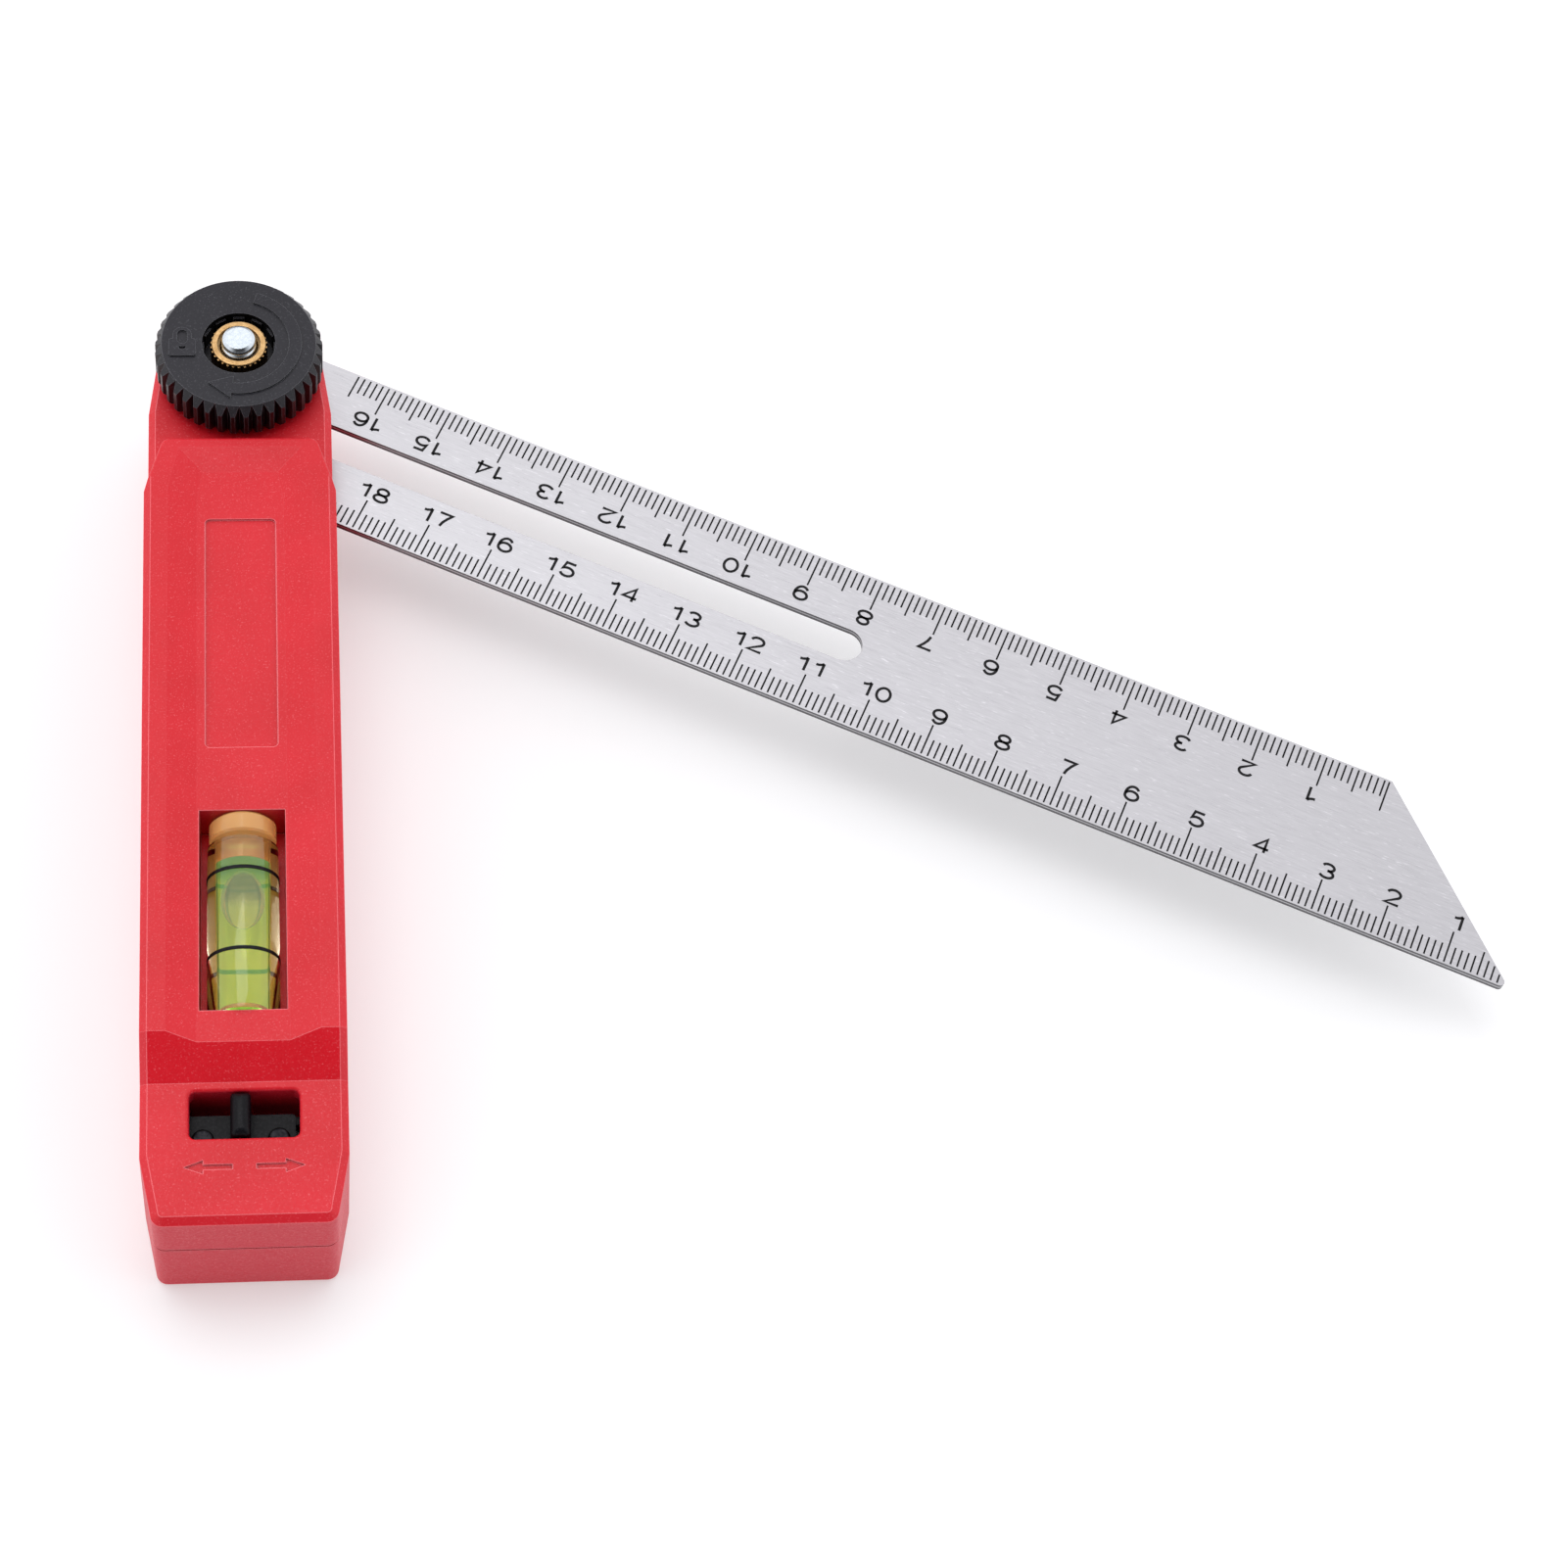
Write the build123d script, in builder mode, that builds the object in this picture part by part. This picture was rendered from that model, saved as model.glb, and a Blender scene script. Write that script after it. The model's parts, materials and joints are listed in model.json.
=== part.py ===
"""Sliding T-bevel: two-shell handle with a spirit level, a slotted steel rule blade that swivels and
slides between the shells, a lock knob on a through bolt, and a small sliding catch.

Frame: millimetres. The origin is on the pivot axis, in the plane of the handle's flat underside.
+X runs across the handle, -Y runs along the handle towards its near end, +Z runs up the bolt.
"""

from build123d import *
from math import acos, atan2, cos, hypot, radians, sin
import os

os.makedirs("parts", exist_ok=True)

# ---------------------------------------------------------------- driving dimensions
# handle plan
BODY_HALF = 13.7
NECK_HALF = 13.25
NECK_STEP_Y = -22.4
NECK_CORNER_Y = -7.2
PIVOT_END_R = 12.2
TAPER_Y = -124.8
END_Y = -134.4
END_HALF = 11.95
END_CORNER_R = 1.6

# handle levels
GAP_FLOOR_Z = 11.6
SEAM_Z = 12.5
GAP_ROOF_Z = 13.05
DECK_Z = 22.0
BACK_Z = 25.5
CHANNEL_Z = 24.7
BLOCK_Y = -113.0
EDGE_CHAMFER = 1.0
SHELL_WALL = 2.0

# raised back of the upper shell
BACK_FAR_Y = -14.2
BACK_FAR_HALF = 11.0
BACK_WIDE_Y = -22.9
RAMP_FOOT_Y = -114.6
RAMP_TOP_Y = -108.45
LABEL_SIZE = (10.0, 37.4)
LABEL_Y = -46.5
LABEL_DEPTH = 0.35

# blade
BLADE_ANGLE = -26.0
BLADE_WIDTH = 25.4
BLADE_THICK = 1.2
BLADE_Z = 11.7
BLADE_TIP = 204.0
BLADE_TAIL_X = 0.9
SLOT_WIDTH = 5.5
SLOT_START = -8.3
SLOT_END = 99.95

# bolt, washers and knob
BOLT_R = 2.5
BOLT_TOP_Z = 30.1
THREAD_PITCH = 0.8
HEAD_FLATS = 8.0
HEAD_Z = 0.8
HEAD_HEIGHT = 3.5
RUNNING_GAP = 0.05
WASHER_R = 9.0
WASHER_POCKET_R = 9.2
KNOB_R = 12.15
KNOB_FACE_R = 11.15
KNOB_BOTTOM_Z = 22.95
KNOB_TOP_Z = 28.9
KNOB_RIBS = 40
RIB_DEPTH = 1.0
KNOB_RECESS_R = 5.33
INSERT_R = 4.1
RELIEF = 0.3

# spirit level
VIAL_R = 4.9
VIAL_BORE_R = 2.4
VIAL_AXIS_Z = 20.4
WINDOW_HALF = 5.85
WINDOW_FAR_Y = -75.1
WINDOW_NEAR_Y = -105.3
RING_YS = (-84.1, -96.3)
BUBBLE_Y = -87.9
BUBBLE_AXES = (2.15, 4.35, 1.3)
BUBBLE_TOP = 2.0

# sliding catch
CATCH_X = -0.5
CATCH_OPEN = (14.5, 6.7)
CATCH_OPEN_Y = -119.15
CATCH_CAVITY_ROOF_Z = 19.6
CATCH_PLATE_Z = 17.2
FIN_WIDTH = 2.7
FIN_TOP_Z = 22.5
RIVET_OFFSET = 5.03
RIVET_Y = -121.4

# shell screws
SCREW_XS = (-8.0, 8.0)
SCREW_Y = -128.8

LOWER_WASHER_Z = BLADE_Z - 1.1
UPPER_WASHER_TOP_Z = BLADE_Z + BLADE_THICK + 1.1
BASE = (Align.CENTER, Align.CENTER, Align.MIN)

blade_dir = Vector(cos(radians(BLADE_ANGLE)), sin(radians(BLADE_ANGLE)), 0)


def blade_plane(z):
    """Plane at height z whose X axis runs along the blade from the pivot."""
    return Plane(origin=(0, 0, z), x_dir=blade_dir, z_dir=(0, 0, 1))


def handle_outline(inset=0.0, mode=Mode.ADD):
    """Plan outline of the handle, put into the sketch that is being built."""
    reach = hypot(NECK_HALF, NECK_CORNER_Y)
    tangent = atan2(NECK_CORNER_Y, NECK_HALF) + acos(PIVOT_END_R / reach)
    tangent_x = PIVOT_END_R * cos(tangent)
    tangent_y = PIVOT_END_R * sin(tangent)
    right = [
        (tangent_x, tangent_y),
        (NECK_HALF, NECK_CORNER_Y),
        (NECK_HALF, NECK_STEP_Y),
        (BODY_HALF, NECK_STEP_Y),
        (BODY_HALF, TAPER_Y),
        (END_HALF, END_Y),
    ]
    left = [(-x, y) for x, y in reversed(right)]
    with BuildSketch(mode=Mode.PRIVATE) as outline:
        with BuildLine():
            Polyline(*right, *left)
            ThreePointArc(left[-1], (0, PIVOT_END_R), right[0])
        make_face()
        fillet(outline.vertices().group_by(Axis.Y)[0], END_CORNER_R)
        if inset:
            offset(amount=-inset, kind=Kind.INTERSECTION, mode=Mode.REPLACE)
    add(outline.sketch, mode=mode)


def near_block(y=BLOCK_Y):
    """Keep only the part of the current sketch on the near side of y."""
    with Locations((0, y - 50)):
        Rectangle(4 * BODY_HALF, 100, mode=Mode.INTERSECT)


def mirrored(points):
    """Close a right-hand outline with its mirror image about the YZ plane."""
    return [*points, *[(-x, y) for x, y in reversed(points)]]


def polar(radius, angle):
    """Point at a radius and an angle in degrees, in the plane of the sketch."""
    return (radius * cos(radians(angle)), radius * sin(radians(angle)))


def inside_window(point):
    """Whether a point lies within the rim of the catch window, seen from above."""
    across = abs(point.X) <= CATCH_OPEN[0] / 2 + 0.01
    along = abs(point.Y - CATCH_OPEN_Y) <= CATCH_OPEN[1] / 2 + 0.01
    return across and along


def ring(outer, inner, z0, z1):
    """Flat washer on the pivot axis, from z0 to z1."""
    with BuildSketch(Plane.XY.offset(z0)) as section:
        Circle(outer)
        Circle(inner, mode=Mode.SUBTRACT)
    extrude(section.sketch, amount=z1 - z0)


# ---------------------------------------------------------------- lower shell
BOTTOM_CHAMFER = 0.6
SCREW_HEAD_Z = 3.0
SCREW_HEAD_R = 2.1
SCREW_SEAT_R = 2.4
SCREW_CLEAR_R = 1.3
LOWER_POCKET_FLOOR_Z = 2.2
POCKET_CORNER_R = 1.0
POCKET_HALF = BODY_HALF - SHELL_WALL
POCKET_YS = [(-28.0, -46.0), (-48.0, -66.0), (-68.0, -86.0), (-88.0, -106.0)]

with BuildPart() as handle_lower_shell:
    with BuildSketch():
        handle_outline()
    extrude(amount=GAP_FLOOR_Z)
    with BuildSketch(Plane.XY.offset(GAP_FLOOR_Z)):
        handle_outline()
        near_block()
    extrude(amount=SEAM_Z - GAP_FLOOR_Z)
    chamfer(handle_lower_shell.edges().group_by(Axis.Z)[0], BOTTOM_CHAMFER)
    for far_y, near_y in POCKET_YS:
        with BuildSketch(Plane.XY.offset(LOWER_POCKET_FLOOR_Z)):
            with Locations((0, (far_y + near_y) / 2)):
                RectangleRounded(2 * POCKET_HALF, far_y - near_y, POCKET_CORNER_R)
        extrude(amount=GAP_FLOOR_Z, mode=Mode.SUBTRACT)
    with BuildSketch(Plane.XY.offset(LOWER_WASHER_Z)):
        Circle(WASHER_POCKET_R)
    extrude(amount=GAP_FLOOR_Z, mode=Mode.SUBTRACT)
    with BuildSketch():
        RegularPolygon(HEAD_FLATS / 2 + RUNNING_GAP, 6, major_radius=False)
    extrude(amount=HEAD_Z + HEAD_HEIGHT, mode=Mode.SUBTRACT)
    with BuildSketch():
        Circle(BOLT_R + RUNNING_GAP)
    extrude(amount=GAP_FLOOR_Z, mode=Mode.SUBTRACT)
    with Locations((SCREW_XS[0], SCREW_Y, 0), (SCREW_XS[1], SCREW_Y, 0)):
        Cylinder(SCREW_SEAT_R, SCREW_HEAD_Z, align=BASE, mode=Mode.SUBTRACT)
        Cylinder(SCREW_CLEAR_R, SEAM_Z, align=BASE, mode=Mode.SUBTRACT)

handle_lower_shell.part.label = "handle_lower_shell"
export_step(handle_lower_shell.part, "parts/handle_lower_shell.step")


# ---------------------------------------------------------------- upper shell
BACK_OUTLINE = [(BACK_FAR_HALF, BACK_FAR_Y), (BODY_HALF, BACK_WIDE_Y), (BODY_HALF, RAMP_FOOT_Y)]
CHANNEL_RIM = [(8.75, -15.9), (10.3, BACK_WIDE_Y), (10.3, END_Y)]
CHANNEL_FLOOR = [(5.35, -19.75), (6.15, -24.4), (6.15, END_Y)]
ARROW = [(1.55, 0.35), (5.4, 0.35), (5.4, 0.95), (7.9, 0.0), (5.4, -0.95), (5.4, -0.35), (1.55, -0.35)]
ARROW_Y = -126.6
UPPER_POCKET_ROOF_Z = 22.4
UPPER_POCKET_YS = [(-28.0, -48.5), (-50.5, -71.0)]
VIAL_FLOOR_Z = 13.85
SHADOW_GAP = 0.4
SHADOW_GAP_DEPTH = 0.8
BACK_CORNER_R = 1.4
BACK_EDGE_R = 0.5
WINDOW_RIM_R = 0.5
WINDOW_CORNER_R = 0.9
CAVITY_CORNER_R = 0.8
LABEL_CORNER_R = 0.7
PILOT_R = 0.95
PILOT_DEPTH = 6.5
CATCH_CAVITY = (24.6, 8.5)
CATCH_CAVITY_Y = -120.05

# the raised back is footed below the deck by the height of the deck's edge chamfer
with BuildPart() as raised_back:
    with BuildSketch(Plane.XY.offset(DECK_Z - EDGE_CHAMFER)) as back:
        Polygon(*mirrored(BACK_OUTLINE), align=None)
        fillet(back.vertices().group_by(Axis.Y)[-1], BACK_CORNER_R)
    extrude(amount=BACK_Z - DECK_Z + EDGE_CHAMFER)
    with BuildSketch(Plane.YZ):
        Polygon(
            (RAMP_FOOT_Y, DECK_Z),
            (RAMP_TOP_Y, BACK_Z),
            (RAMP_TOP_Y, BACK_Z + 1),
            (RAMP_FOOT_Y - 1, BACK_Z + 1),
            (RAMP_FOOT_Y - 1, DECK_Z),
            align=None,
        )
    extrude(amount=2 * BODY_HALF, both=True, mode=Mode.SUBTRACT)
    long_edges = raised_back.edges().filter_by(lambda e: e.center().Z > (DECK_Z + BACK_Z) / 2 - 0.1)
    side_edges = long_edges.filter_by(lambda e: abs(e.center().X) > BODY_HALF - 0.01)
    chamfer(side_edges.filter_by(lambda e: e.center().Y < BACK_WIDE_Y - 1), EDGE_CHAMFER)
    top_edges = raised_back.faces().sort_by(Axis.Z)[-1].edges()
    fillet(top_edges.filter_by(lambda e: e.center().Y > BACK_WIDE_Y), BACK_EDGE_R)

with BuildPart() as handle_upper_shell:
    with BuildSketch(Plane.XY.offset(GAP_ROOF_Z)):
        handle_outline()
    extrude(amount=DECK_Z - GAP_ROOF_Z)
    chamfer(handle_upper_shell.faces().sort_by(Axis.Z)[-1].edges(), EDGE_CHAMFER)
    with BuildSketch(Plane.XY.offset(SEAM_Z)):
        handle_outline()
        near_block()
    extrude(amount=GAP_ROOF_Z - SEAM_Z)
    add(raised_back.part)
    # shadow gap along the seam at the near end
    with BuildSketch(Plane.XY.offset(SEAM_Z)):
        handle_outline()
        handle_outline(inset=SHADOW_GAP_DEPTH, mode=Mode.SUBTRACT)
        near_block(BLOCK_Y - 0.01)
    extrude(amount=SHADOW_GAP, mode=Mode.SUBTRACT)
    # channel along the back, with sloping sides, that runs out through the ramp
    with BuildSketch(Plane.XY.offset(CHANNEL_Z)):
        Polygon(*mirrored(CHANNEL_FLOOR), align=None)
    with BuildSketch(Plane.XY.offset(BACK_Z)):
        Polygon(*mirrored(CHANNEL_RIM), align=None)
    loft(ruled=True, mode=Mode.SUBTRACT)
    with BuildSketch(Plane.XY.offset(CHANNEL_Z - LABEL_DEPTH)):
        with Locations((0, LABEL_Y)):
            RectangleRounded(*LABEL_SIZE, LABEL_CORNER_R)
    extrude(amount=LABEL_DEPTH, mode=Mode.SUBTRACT)
    # seat of the spirit level
    with BuildSketch(Plane.XY.offset(VIAL_FLOOR_Z)):
        with Locations((0, (WINDOW_FAR_Y + WINDOW_NEAR_Y) / 2)):
            Rectangle(2 * WINDOW_HALF, WINDOW_FAR_Y - WINDOW_NEAR_Y)
    extrude(amount=BACK_Z - VIAL_FLOOR_Z, mode=Mode.SUBTRACT)
    # catch cavity and its window in the deck
    with BuildSketch(Plane.XY.offset(SEAM_Z)):
        with Locations((0, CATCH_CAVITY_Y)):
            RectangleRounded(*CATCH_CAVITY, CAVITY_CORNER_R)
    extrude(amount=CATCH_CAVITY_ROOF_Z - SEAM_Z, mode=Mode.SUBTRACT)
    with BuildSketch(Plane.XY.offset(CATCH_CAVITY_ROOF_Z)):
        with Locations((0, CATCH_OPEN_Y)):
            RectangleRounded(*CATCH_OPEN, WINDOW_CORNER_R)
    extrude(amount=DECK_Z - CATCH_CAVITY_ROOF_Z, mode=Mode.SUBTRACT)
    window_rim = handle_upper_shell.edges().filter_by(lambda e: abs(e.center().Z - DECK_Z) < 0.01)
    fillet(window_rim.filter_by(lambda e: inside_window(e.center())), WINDOW_RIM_R)
    # moulded pockets above the blade
    for far_y, near_y in UPPER_POCKET_YS:
        with BuildSketch(Plane.XY.offset(GAP_ROOF_Z)):
            with Locations((0, (far_y + near_y) / 2)):
                RectangleRounded(2 * POCKET_HALF, far_y - near_y, POCKET_CORNER_R)
        extrude(amount=UPPER_POCKET_ROOF_Z - GAP_ROOF_Z, mode=Mode.SUBTRACT)
    # pivot: bolt bore and washer pocket
    with BuildSketch(Plane.XY.offset(GAP_ROOF_Z)):
        Circle(WASHER_POCKET_R)
    extrude(amount=UPPER_WASHER_TOP_Z - GAP_ROOF_Z, mode=Mode.SUBTRACT)
    with BuildSketch(Plane.XY.offset(GAP_ROOF_Z)):
        Circle(BOLT_R + RUNNING_GAP)
    extrude(amount=DECK_Z, mode=Mode.SUBTRACT)
    # screw pilots and travel arrows
    with BuildSketch(Plane.XY.offset(SEAM_Z)):
        with Locations(*[(x, SCREW_Y) for x in SCREW_XS]):
            Circle(PILOT_R)
    extrude(amount=PILOT_DEPTH, mode=Mode.SUBTRACT)
    with BuildSketch(Plane.XY.offset(DECK_Z - RELIEF)):
        with Locations((0, ARROW_Y)):
            Polygon(*ARROW, align=None)
            Polygon(*[(-x, y) for x, y in ARROW], align=None)
    extrude(amount=RELIEF, mode=Mode.SUBTRACT)

handle_upper_shell.part.label = "handle_upper_shell"
export_step(handle_upper_shell.part, "parts/handle_upper_shell.step")


# ---------------------------------------------------------------- shell screws
SCREW_HEAD_HEIGHT = 1.6
SCREW_GRIP = 5.5
CROSS_SLOT = (0.6, 2.8, 0.7)

with BuildPart() as shell_screws:
    with Locations(*[(x, SCREW_Y, SCREW_HEAD_Z - SCREW_HEAD_HEIGHT) for x in SCREW_XS]):
        Cylinder(SCREW_HEAD_R, SCREW_HEAD_HEIGHT, align=BASE)
        Cylinder(PILOT_R, SCREW_HEAD_HEIGHT + SEAM_Z - SCREW_HEAD_Z + SCREW_GRIP, align=BASE)
        Box(CROSS_SLOT[0], CROSS_SLOT[1], CROSS_SLOT[2], align=BASE, mode=Mode.SUBTRACT)
        Box(CROSS_SLOT[1], CROSS_SLOT[0], CROSS_SLOT[2], align=BASE, mode=Mode.SUBTRACT)

shell_screws.part.label = "shell_screws"
export_step(shell_screws.part, "parts/shell_screws.step")


# ---------------------------------------------------------------- clamp bolt and washers
THREAD_START_Z = 22.9
THREAD_END_Z = 29.3
THREAD_DEPTH = 0.3
BOLT_END = [(BOLT_R, BOLT_TOP_Z - 0.7), (BOLT_R - 0.15, BOLT_TOP_Z - 0.3), (BOLT_R - 0.6, BOLT_TOP_Z)]

with BuildPart() as clamp_bolt:
    with BuildSketch(Plane.XY.offset(HEAD_Z)):
        RegularPolygon(HEAD_FLATS / 2, 6, major_radius=False)
    extrude(amount=HEAD_HEIGHT)
    crests = int((THREAD_END_Z - THREAD_START_Z) / THREAD_PITCH)
    profile = [(0, HEAD_Z + 1), (BOLT_R, HEAD_Z + 1), (BOLT_R, THREAD_START_Z)]
    for turn in range(crests):
        crest_z = THREAD_START_Z + turn * THREAD_PITCH
        profile.append((BOLT_R - THREAD_DEPTH, crest_z + 0.4 * THREAD_PITCH))
        profile.append((BOLT_R, crest_z + 0.9 * THREAD_PITCH))
        profile.append((BOLT_R, crest_z + THREAD_PITCH))
    with BuildSketch(Plane.XZ):
        Polygon(*profile, *BOLT_END, (0, BOLT_TOP_Z), align=None)
    revolve(axis=Axis.Z)

clamp_bolt.part.label = "clamp_bolt"
export_step(clamp_bolt.part, "parts/clamp_bolt.step")

with BuildPart() as friction_washer:
    ring(WASHER_R, BOLT_R + RUNNING_GAP, BLADE_Z + BLADE_THICK + RUNNING_GAP, UPPER_WASHER_TOP_Z)

friction_washer.part.label = "friction_washer"
export_step(friction_washer.part, "parts/friction_washer.step")

TONGUE_START = 2.8
TONGUE_END = 5.2
THRUST_WASHER_R = 8.5

with BuildPart() as slot_washer:
    ring(WASHER_R, BOLT_R + RUNNING_GAP, LOWER_WASHER_Z + RUNNING_GAP, BLADE_Z - RUNNING_GAP)
    with BuildSketch(blade_plane(BLADE_Z - RUNNING_GAP)):
        with Locations(*[(side * (TONGUE_START + TONGUE_END) / 2, 0) for side in (-1, 1)]):
            Rectangle(TONGUE_END - TONGUE_START, SLOT_WIDTH - 4 * RUNNING_GAP)
    extrude(amount=BLADE_THICK)

slot_washer.part.label = "slot_washer"
export_step(slot_washer.part, "parts/slot_washer.step")

with BuildPart() as thrust_washer:
    ring(THRUST_WASHER_R, BOLT_R + RUNNING_GAP, DECK_Z + RUNNING_GAP, KNOB_BOTTOM_Z - RUNNING_GAP)

thrust_washer.part.label = "thrust_washer"
export_step(thrust_washer.part, "parts/thrust_washer.step")


# ---------------------------------------------------------------- blade
TIP_CORNER_R = 0.7
half = BLADE_WIDTH / 2

with BuildPart() as blade:
    with BuildSketch(blade_plane(BLADE_Z)) as plan:
        Polygon(
            (BLADE_TAIL_X, -half),
            (BLADE_TIP, -half),
            (BLADE_TIP - BLADE_WIDTH, half),
            (BLADE_TAIL_X, half),
            align=None,
        )
        with Locations((BLADE_TAIL_X, 0)):
            Circle(half)
        with Locations(((SLOT_START + SLOT_END) / 2, 0)):
            SlotOverall(SLOT_END - SLOT_START, SLOT_WIDTH, mode=Mode.SUBTRACT)
    extrude(amount=BLADE_THICK)
    tip_edges = blade.edges().filter_by(Axis.Z).sort_by(lambda e: e.center().dot(blade_dir))
    fillet(tip_edges[-1], TIP_CORNER_R)

blade.part.label = "blade"
export_step(blade.part, "parts/blade.step")


# ---------------------------------------------------------------- lock knob
KNOB_SHOULDER_Z = 27.4
KNOB_FOOT = (0.25, 0.35)
KNOB_RECESS_Z = 25.0
RECESS_RIBS = 12
RECESS_RIB_TOP_Z = 27.9
RECESS_RIB = (0.5, 1.6)
INSERT_BODY_R = 3.6
INSERT_LIP_R = 3.95
INSERT_KNURL_TOP_Z = 28.4
INSERT_TEETH = 30
INSERT_NOTCH = 0.5
INSERT_DISH = 0.6
INSERT_EASE = 0.2
ARROW_BAND = (9.1, 7.3)
ARROW_START = -97
ARROW_SWEEP = 170
ARROW_HEAD = ((9.9, -97), (8.4, -122), (6.1, -97))
PADLOCK_X = -8.15

with BuildPart() as lock_knob:
    with BuildSketch(Plane.XY.offset(KNOB_BOTTOM_Z)):
        Circle(KNOB_R)
        with PolarLocations(KNOB_R, KNOB_RIBS):
            rib_half = 0.92 * KNOB_R * radians(180 / KNOB_RIBS)
            Polygon((0.3, -rib_half), (-RIB_DEPTH, 0), (0.3, rib_half), align=None, mode=Mode.SUBTRACT)
    extrude(amount=KNOB_TOP_Z - KNOB_BOTTOM_Z)
    # the ribs are cut back by a cone to the round face, and eased at the foot
    with BuildSketch(Plane.XZ):
        Polygon(
            (0, KNOB_BOTTOM_Z),
            (KNOB_R - KNOB_FOOT[0], KNOB_BOTTOM_Z),
            (KNOB_R, KNOB_BOTTOM_Z + KNOB_FOOT[1]),
            (KNOB_R, KNOB_SHOULDER_Z),
            (KNOB_FACE_R, KNOB_TOP_Z),
            (0, KNOB_TOP_Z),
            align=None,
        )
    revolve(axis=Axis.Z, mode=Mode.INTERSECT)
    with BuildSketch(Plane.XY.offset(KNOB_RECESS_Z)):
        Circle(KNOB_RECESS_R)
    extrude(amount=KNOB_TOP_Z, mode=Mode.SUBTRACT)
    # short ribs on the wall of the recess
    with BuildSketch(Plane.XY.offset(KNOB_RECESS_Z)):
        with PolarLocations(KNOB_RECESS_R, RECESS_RIBS):
            Rectangle(RECESS_RIB[0], RECESS_RIB[1])
    extrude(amount=RECESS_RIB_TOP_Z - KNOB_RECESS_Z)
    with BuildSketch(Plane.XY.offset(KNOB_BOTTOM_Z)):
        Circle(INSERT_BODY_R)
    extrude(amount=KNOB_TOP_Z, mode=Mode.SUBTRACT)
    # raised marks on the face: a curved arrow for the locking turn, and a padlock
    with BuildSketch(Plane.XY.offset(KNOB_TOP_Z)) as marks:
        with BuildLine():
            outer_arc = CenterArc((0, 0), ARROW_BAND[0], ARROW_START, ARROW_SWEEP)
            inner_arc = CenterArc((0, 0), ARROW_BAND[1], ARROW_START, ARROW_SWEEP)
            Line(outer_arc @ 1, inner_arc @ 1)
            Line(outer_arc @ 0, inner_arc @ 0)
        make_face()
        Polygon(*[polar(r, a) for r, a in ARROW_HEAD], align=None)
        with Locations((PADLOCK_X, -0.9)):
            RectangleRounded(3.9, 3.0, 0.4)
            Circle(0.5, mode=Mode.SUBTRACT)
        with Locations((PADLOCK_X, 0.9)):
            SlotOverall(3.4, 2.7, rotation=90)
            SlotOverall(2.4, 1.5, rotation=90, mode=Mode.SUBTRACT)
    extrude(amount=RELIEF)

lock_knob.part.label = "lock_knob"
export_step(lock_knob.part, "parts/lock_knob.step")

with BuildPart() as knob_insert:
    with BuildSketch(Plane.XY.offset(KNOB_RECESS_Z)):
        Circle(INSERT_R)
        with PolarLocations(INSERT_R, INSERT_TEETH):
            Rectangle(INSERT_NOTCH, INSERT_NOTCH, rotation=45, mode=Mode.SUBTRACT)
    extrude(amount=INSERT_KNURL_TOP_Z - KNOB_RECESS_Z)
    with BuildSketch(Plane.XY.offset(KNOB_RECESS_Z)):
        Circle(INSERT_LIP_R)
    extrude(amount=KNOB_TOP_Z - 0.1 - KNOB_RECESS_Z)
    with BuildSketch(Plane.XY.offset(KNOB_BOTTOM_Z)):
        Circle(INSERT_BODY_R)
    extrude(amount=KNOB_RECESS_Z - KNOB_BOTTOM_Z)
    with BuildSketch(Plane.XY.offset(KNOB_BOTTOM_Z)):
        Circle(BOLT_R + RUNNING_GAP)
    extrude(amount=KNOB_TOP_Z, mode=Mode.SUBTRACT)
    lip_edges = knob_insert.faces().sort_by(Axis.Z)[-1].edges().sort_by(SortBy.RADIUS)
    chamfer(lip_edges[0], INSERT_DISH)
    fillet(lip_edges[-1], INSERT_EASE)

knob_insert.part.label = "knob_insert"
export_step(knob_insert.part, "parts/knob_insert.step")


# ---------------------------------------------------------------- spirit level
CRADLE_TOP_Z = 17.8
PLUG_FLANGE_R = 4.6
TUBE_FAR_Y = -79.1
FAR_PLUG_Y = -81.8
NEAR_PLUG_Y = -103.6
END_PLAY = 0.1
PLUG_NECK = 0.9
PLUG_EASE = 0.3
PLUG_ROUND = (0.5, 0.5)
CRADLE_R = VIAL_R + 0.17
REFLECTOR_R = (VIAL_R + 0.08, VIAL_R + 0.14)
REFLECTOR_HALF = 40
RING_HALF = 0.27
RING_R = (VIAL_R + 0.01, VIAL_R + 0.07)
LIQUID_R = VIAL_BORE_R - RUNNING_GAP

vial_axis = Axis((0, 0, VIAL_AXIS_Z), (0, 1, 0))
vial_plane = Plane(origin=(0, 0, VIAL_AXIS_Z), x_dir=(0, 1, 0), z_dir=(1, 0, 0))


def vial_turn(*profile):
    """Revolve a profile of (y, radius) points about the vial's axis."""
    with BuildSketch(vial_plane) as section:
        Polygon(*profile, align=None)
    revolve(section.sketch, axis=vial_axis)


def vial_disc(radius, y0, y1):
    """Solid round stretch of the vial between two places on its axis."""
    vial_turn((y0, 0), (y0, radius), (y1, radius), (y1, 0))


with BuildPart() as vial_cradle:
    with BuildSketch(Plane.XY.offset(VIAL_FLOOR_Z)):
        with Locations((0, (WINDOW_FAR_Y + WINDOW_NEAR_Y) / 2)):
            Rectangle(2 * (WINDOW_HALF - RUNNING_GAP), WINDOW_FAR_Y - WINDOW_NEAR_Y - END_PLAY)
    extrude(amount=CRADLE_TOP_Z - VIAL_FLOOR_Z)
    with Locations(Location((0, (WINDOW_FAR_Y + WINDOW_NEAR_Y) / 2, VIAL_AXIS_Z), (90, 0, 0))):
        Cylinder(CRADLE_R, 40, mode=Mode.SUBTRACT)

vial_cradle.part.label = "vial_cradle"
export_step(vial_cradle.part, "parts/vial_cradle.step")

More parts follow.
